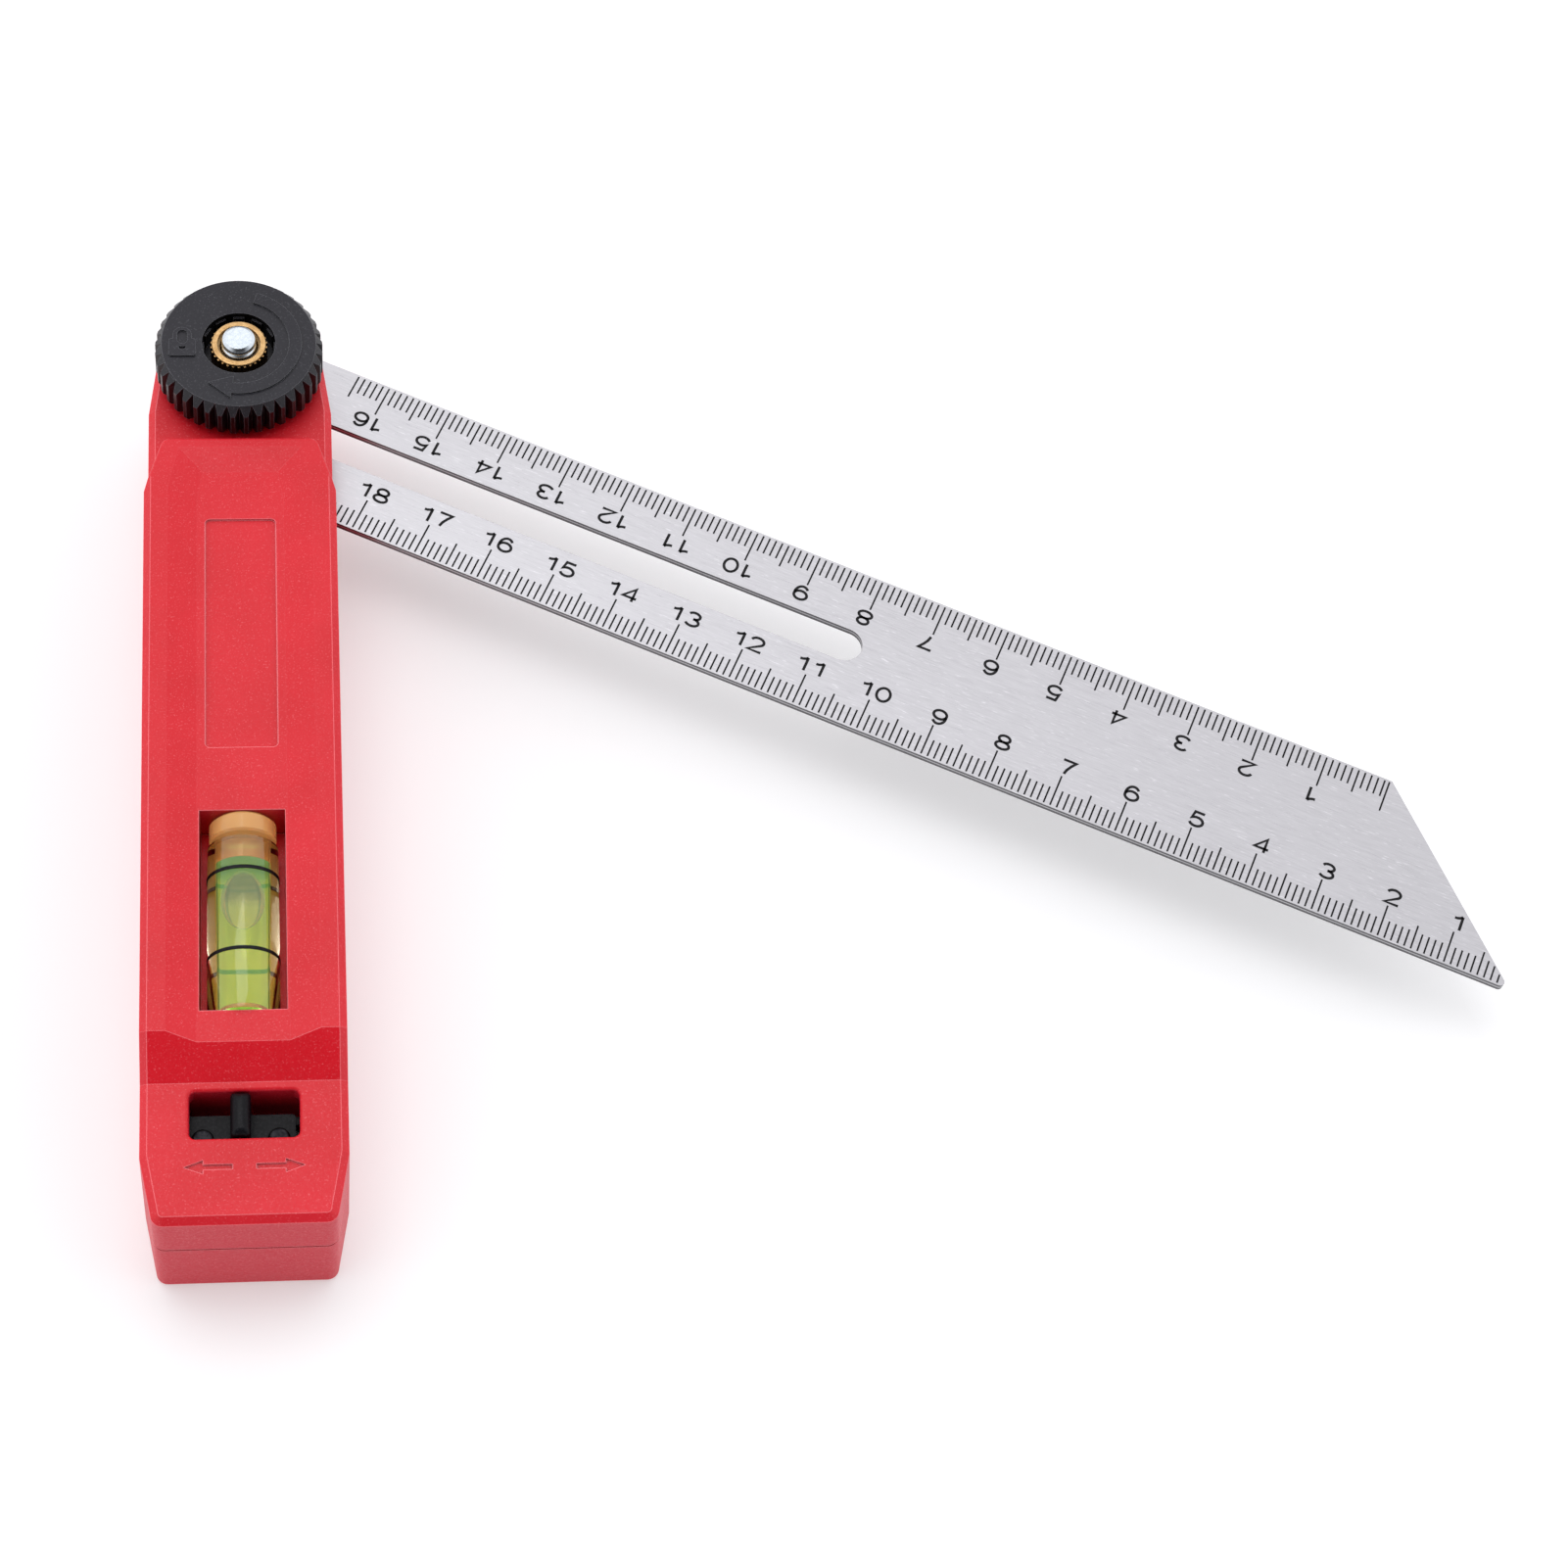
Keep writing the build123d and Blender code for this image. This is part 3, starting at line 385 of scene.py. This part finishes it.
# one material for each slot of the record
MATERIALS = {
    "shell_red": moulded_plastic(
        "red_plastic",
        # deep, pale, painted edge highlight, and painted shade on upright faces
        [(0.58, 0.003, 0.011, 1), (0.66, 0.006, 0.018, 1), (0.95, 0.24, 0.27, 1), (0.55, 0.010, 0.028, 1)],
        rough=0.43,
        grain_depth=0.07 * MM,
        shine=0.32,
        edge_radius=0.2 * MM,
        # painted shade in crevices and the seam
        painted_shade_reach=0.6 * MM,
    ),
    # painted light: the strip's ochre colour and emission stand for light the liquid throws on the cradle
    "strip_ochre": moulded_plastic(
        "ochre_strip_painted_light",
        [(0.50, 0.25, 0.07, 1), (0.62, 0.34, 0.11, 1), (0.7, 0.5, 0.2, 1), (0.5, 0.3, 0.1, 1)],
        rough=0.5,
        grain_depth=0.03 * MM,
        shine=0.5,
        edge_radius=0.05 * MM,
        painted_glow=0.10,
    ),
    "black_plastic": moulded_plastic(
        "black_plastic",
        [
            (0.006, 0.0055, 0.0105, 1),
            (0.010, 0.009, 0.015, 1),
            # painted edge highlight, and painted shade on upright faces
            (0.16, 0.16, 0.18, 1),
            (0.001, 0.001, 0.0013, 1),
        ],
        rough=0.36,
        grain_depth=0.02 * MM,
        shine=0.3,
        edge_radius=0.07 * MM,
    ),
    # black plastic in painted shade: a darker copy for the catch in its deep cavity
    "catch_black": moulded_plastic(
        "black_catch_painted_shade",
        [
            (0.003, 0.003, 0.0045, 1),
            (0.005, 0.0045, 0.007, 1),
            (0.06, 0.06, 0.07, 1),
            (0.002, 0.002, 0.003, 1),
        ],
        rough=0.4,
        grain_depth=0.02 * MM,
        shine=0.12,
        edge_radius=0.07 * MM,
    ),
    "blade_steel": brushed_metal(
        "brushed_steel", (0.40, 0.393, 0.412, 1), (0.47, 0.463, 0.484, 1), rough=0.33
    ),
    "zinc_steel": speckled_metal(
        "zinc_steel", (0.50, 0.55, 0.60, 1), (0.62, 0.67, 0.72, 1), rough=0.2, cells=2200
    ),
    "washer_steel": speckled_metal(
        "washer_steel", (0.42, 0.42, 0.43, 1), (0.6, 0.6, 0.61, 1), rough=0.35, cells=1800
    ),
    "black_metal": speckled_metal(
        "black_metal", (0.010, 0.010, 0.012, 1), (0.030, 0.030, 0.034, 1), rough=0.45, cells=1800
    ),
    "brass": speckled_metal("brass", (0.40, 0.24, 0.10, 1), (0.58, 0.37, 0.17, 1), rough=0.26, cells=2000),
    "vial_clear": clear_body("clear_acrylic", (0.95, 0.86, 0.62, 1), ior=1.47),
    "vial_liquid": clear_body(
        "level_liquid",
        (0.97, 1, 0.80, 1),
        ior=0.93,
        absorb=((0.78, 0.88, 0.16, 1), 200),
        # painted emission for the dye, standing for light that comes through the liquid
        painted_glow=(0.11, 0.27, 0.08, 1),
        # painted shade on the liquid beyond the far ring
        far_shade=((0.22, 0.34, 0.44, 1), FAR_RING - RING_SHADE, FAR_RING),
    ),
    "vial_air": clear_body(
        "bubble_air",
        (0.92, 0.86, 0.80, 1),
        ior=0.74,
        # painted emission of the bubble
        painted_glow=(0.08, 0.04, 0.07, 1),
        # painted shade in the far half, where the bubble mirrors the shaded end of the window
        far_shade=((0.28, 0.18, 0.26, 1), *BUBBLE_SHADE),
    ),
    "ring_black": printed_ink("ring_ink", (0.003, 0.003, 0.004, 1), rough=0.5),
    "plug_amber": clear_body(
        # painted emission of the plug, standing for light that comes through it
        "amber_plug", (1.0, 0.62, 0.24, 1), ior=1.35, rough=0.1, clear=0.65, painted_glow=(0.12, 0.07, 0.03, 1)
    ),
}


# ---------------------------------------------------------------- pieces
def finished(mesh, name):
    """Mesh data from a bmesh, which is freed."""
    made = bpy.data.meshes.new(name)
    mesh.to_mesh(made)
    mesh.free()
    return made


def new_piece(name, mesh, slot_name, body):
    """Link a mesh as a piece that rides on a body, with its slot's material."""
    piece = bpy.data.objects.new(name, mesh)
    bpy.context.scene.collection.objects.link(piece)
    mesh.materials.append(MATERIALS[slot_name])
    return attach(piece, body)


def dress_nodes():
    """Give every CAD node the material of its slot."""
    for part in frame["record"]["subparts"]:
        mesh = nodes[part["node"]].data
        mesh.materials.clear()
        mesh.materials.append(MATERIALS[part["material_slot"]])


# ---------------------------------------------------------------- rule printed on the blade
BLADE_TIP = 204 * MM
BLADE_WIDTH = 25.4 * MM
LOWER_ZERO = BLADE_TIP
UPPER_ZERO = BLADE_TIP - BLADE_WIDTH
LOWER_MARKS = 189
UPPER_MARKS = 165
TICK_START = 0.3 * MM
TICK_ENDS = {10: 5.5 * MM, 5: 4.25 * MM, 1: 3.15 * MM}
TICK_WIDTH = 0.26 * MM
INK_THICK = 0.015 * MM
CORNER_GAP = 0.3 * MM
DIGIT_WIDTH = 2.1 * MM
DIGIT_HEIGHT = 2.3 * MM
DIGIT_STROKE = 0.42 * MM
DIGIT_GAP = 0.5 * MM
DIGIT_PITCH = 2.5 * MM
NUMBER_SHIFT = 0.33 * MM
FIRST_LOWER_MARK = 2
SAME_POINT = 1e-9
SHARPEST_MITRE = 0.5


def arc(centre, radii, start, end, steps=14):
    """Points of an ellipse arc from one angle to another, in degrees."""
    angles = [radians(start + (end - start) * i / steps) for i in range(steps + 1)]
    return [(centre[0] + radii[0] * cos(a), centre[1] + radii[1] * sin(a)) for a in angles]


# strokes in a box 1 wide and 1 high, with x from -0.5 to 0.5
NINE = [arc((0, 0.68), (0.47, 0.32), 0, 360, 24), arc((0, 0.52), (0.47, 0.52), 12, -140)]
DIGITS = {
    "0": [arc((0, 0.5), (0.48, 0.5), 0, 360, 28)],
    "1": [[(0.14, 0), (0.14, 1)], [(0.14, 1), (0.0, 0.88), (-0.2, 0.81), (-0.4, 0.79)]],
    "2": [arc((0, 0.71), (0.46, 0.29), 168, -38) + [(-0.5, 0), (0.5, 0)]],
    "3": [arc((-0.02, 0.755), (0.42, 0.245), 158, -90), arc((-0.02, 0.265), (0.48, 0.265), 90, -155)],
    "4": [[(0.24, 0), (0.24, 1), (-0.5, 0.28), (0.5, 0.28)]],
    "5": [[(0.4, 1), (-0.28, 1)] + arc((-0.02, 0.32), (0.48, 0.32), 142, -155)],
    "6": [[(-x, 1 - y) for x, y in stroke] for stroke in NINE],
    "7": [[(-0.46, 1), (0.46, 1), (0.2, 0.68), (0.0, 0.34), (-0.1, 0)]],
    "8": [arc((0, 0.755), (0.4, 0.245), 0, 360, 24), arc((0, 0.26), (0.48, 0.26), 0, 360, 24)],
    "9": NINE,
}


def ribbon(mesh, points, width):
    """Thin closed strip of ink of one width along a line of points in the plane of the blade."""
    closed = (points[0] - points[-1]).length < SAME_POINT
    if closed:
        points = points[:-1]
    count = len(points)
    lift = Vector((0, 0, INK_THICK))
    rims = []
    for i, point in enumerate(points):
        before = points[i - 1] if closed or i > 0 else point
        after = points[(i + 1) % count] if closed or i < count - 1 else point
        first = (point - before).normalized() if point != before else (after - point).normalized()
        second = (after - point).normalized() if point != after else first
        lean = (first + second).normalized()
        side = Vector((-lean.y, lean.x, 0)) * (width / 2 / max(lean.dot(first), SHARPEST_MITRE))
        corners = (point - side, point + side, point + side + lift, point - side + lift)
        rims.append([mesh.verts.new(corner) for corner in corners])
    for i in range(count if closed else count - 1):
        near, far = rims[i], rims[(i + 1) % count]
        for k in range(4):
            mesh.faces.new((near[k], near[(k + 1) % 4], far[(k + 1) % 4], far[k]))
    if not closed:
        mesh.faces.new(rims[0][::-1])
        mesh.faces.new(rims[-1])


def rule(name, zero, marks, side):
    """One printed scale, with its zero at a distance from the pivot and a number of millimetre marks.

    side is -1 for the edge with the tip, and 1 for the other, whose figures are upside down. The
    slanted end cuts the first marks of the edge with the tip short.
    """
    edge = side * BLADE_WIDTH / 2

    def on_blade(along, inward):
        """Point on the face, from the distance to the pivot and the distance in from this edge."""
        place = ALONG * along + ACROSS * (edge - side * inward)
        return Vector((place.x, place.y, BLADE_TOP))

    mesh = bmesh.new()
    for mark in range(0 if side > 0 else FIRST_LOWER_MARK, marks + 1):
        step = 10 if mark % 10 == 0 else 5 if mark % 5 == 0 else 1
        along = zero - mark * MM - (CORNER_GAP if mark == 0 else 0)
        reach = TICK_ENDS[step] if side > 0 else min(TICK_ENDS[step], mark * MM - CORNER_GAP)
        ribbon(mesh, [on_blade(along, TICK_START), on_blade(along, reach)], TICK_WIDTH)
    foot = TICK_ENDS[10] + DIGIT_GAP
    for number in range(1, marks // 10 + 1):
        middle = zero - number * 10 * MM
        text = str(number)
        for place, digit in enumerate(text):
            shift = NUMBER_SHIFT + (place - (len(text) - 1) / 2) * DIGIT_PITCH
            for stroke in DIGITS[digit]:
                line = [
                    on_blade(middle - side * (shift + x * DIGIT_WIDTH), foot + y * DIGIT_HEIGHT)
                    for x, y in stroke
                ]
                ribbon(mesh, line, DIGIT_STROKE)
    bmesh.ops.recalc_face_normals(mesh, faces=mesh.faces)
    return new_piece(name, finished(mesh, name), "ring_black", "blade")


# ---------------------------------------------------------------- clear bodies of the level
ROUND_STEPS = 128
SHARP_ANGLE = radians(30)
TUBE_EASE = 0.25 * MM
TUBE_RIM = [(0, TUBE_EASE), (0.3 * TUBE_EASE, 0.3 * TUBE_EASE), (TUBE_EASE, 0)]


def turned(name, centre, profile):
    """Closed body turned about a line through centre along Y, from (y, radius) points."""
    mesh = bmesh.new()
    rows = []
    for y, radius in profile:
        row = []
        for i in range(ROUND_STEPS):
            angle = 2 * pi * i / ROUND_STEPS
            row.append(mesh.verts.new((centre.x + radius * cos(angle), y, centre.z + radius * sin(angle))))
        rows.append(row)
    for near, far in zip(rows, rows[1:]):
        for i in range(ROUND_STEPS):
            k = (i + 1) % ROUND_STEPS
            mesh.faces.new((near[i], near[k], far[k], far[i]))
    mesh.faces.new(rows[0])
    mesh.faces.new(rows[-1])
    bmesh.ops.recalc_face_normals(mesh, faces=mesh.faces)
    made = finished(mesh, name)
    for face in made.polygons:
        face.use_smooth = True
    made.set_sharp_from_angle(angle=SHARP_ANGLE)
    return made


def level_bodies():
    """The acrylic as one solid round block, and the liquid as a solid inside it that meets the bubble."""
    low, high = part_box("vial_tube")
    centre = (low + high) / 2
    radius = (high.x - low.x) / 2
    near_end = [(low.y + y, radius - drop) for y, drop in TUBE_RIM]
    far_end = [(high.y - y, radius - drop) for y, drop in reversed(TUBE_RIM)]
    block = turned("vial_block", centre, near_end + far_end)
    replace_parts(new_piece("vial_block", block, "vial_clear", "handle"), "vial_tube")
    low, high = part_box("vial_liquid")
    radius = (high.x - low.x) / 2
    core = turned("vial_core", centre, [(low.y, radius), (high.y, radius)])
    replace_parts(new_piece("vial_core", core, "vial_liquid", "handle"), "vial_liquid")


# ---------------------------------------------------------------- floor and light
FLOOR_REACH = 4.0
FLOOR_DROP = 0.01 * MM
FLOOR_COLOUR = (0.66, 0.66, 0.67, 1)
FLOOR_ROUGH = 0.8
FLOOR_GLOW = 0.36


def make_floor():
    """Plain white table top, which glows a little so that it stays white in the tent's light."""
    mesh = bmesh.new()
    corners = [(-1, -1), (1, -1), (1, 1), (-1, 1)]
    level = cad_low.z - FLOOR_DROP
    mesh.faces.new([mesh.verts.new((FLOOR_REACH * x, FLOOR_REACH * y, level)) for x, y in corners])
    made = finished(mesh, "floor")
    floor = bpy.data.objects.new("floor", made)
    bpy.context.scene.collection.objects.link(floor)
    white, _, shader, _ = new_material("white_table")
    shader.inputs["Base Color"].default_value = FLOOR_COLOUR
    shader.inputs["Emission Color"].default_value = (1, 1, 1, 1)
    shader.inputs["Emission Strength"].default_value = FLOOR_GLOW
    shader.inputs["Roughness"].default_value = FLOOR_ROUGH
    made.materials.append(white)


TENT_WHITE = (1.0, 1.0, 1.015, 1)
TENT_DARK = (0.04, 0.038, 0.04, 1)
TENT_OPENING = (0.08, -0.62, 0.78)
OPENING_COSINES = (0.62, 0.93)
TENT_STRENGTH = 1.36


def make_world():
    """White tent of light with a dark opening on the near side, above the handle's end."""
    world = bpy.data.worlds.new("tent")
    bpy.context.scene.world = world
    world.use_nodes = True
    tree = world.node_tree
    back = tree.nodes["Background"]
    direction = tree.nodes.new("ShaderNodeTexCoord").outputs["Generated"]
    lean = add_node(tree, "ShaderNodeVectorMath", {"operation": "DOT_PRODUCT"})
    tree.links.new(direction, lean.inputs[0])
    lean.inputs[1].default_value = Vector(TENT_OPENING).normalized()
    share = ranged(tree, lean.outputs["Value"], 0, 1, *OPENING_COSINES)
    put(tree, back.inputs["Color"], mix_colours(tree, share, TENT_WHITE, TENT_DARK))
    back.inputs["Strength"].default_value = TENT_STRENGTH


OVERHEAD_PLACE = Vector((-0.1, 0.15, 1.0))
OVERHEAD_TARGET = Vector((0, -0.06, 0))
OVERHEAD_SIZE = 0.55
OVERHEAD_POWER = 2.4


def make_overhead():
    """Square soft box above the handle's far end, which faces the middle of the handle."""
    data = bpy.data.lights.new("overhead", "AREA")
    data.size = OVERHEAD_SIZE
    data.energy = OVERHEAD_POWER
    lamp = bpy.data.objects.new("overhead", data)
    lamp.location = OVERHEAD_PLACE
    lamp.rotation_euler = (OVERHEAD_TARGET - OVERHEAD_PLACE).to_track_quat("-Z", "Y").to_euler()
    bpy.context.scene.collection.objects.link(lamp)


# ---------------------------------------------------------------- the scene
bpy.context.scene.view_settings.view_transform = "Standard"
make_camera()
dress_nodes()
rule("rule_lower", LOWER_ZERO, LOWER_MARKS, -1)
rule("rule_upper", UPPER_ZERO, UPPER_MARKS, 1)
level_bodies()
make_floor()
make_world()
make_overhead()
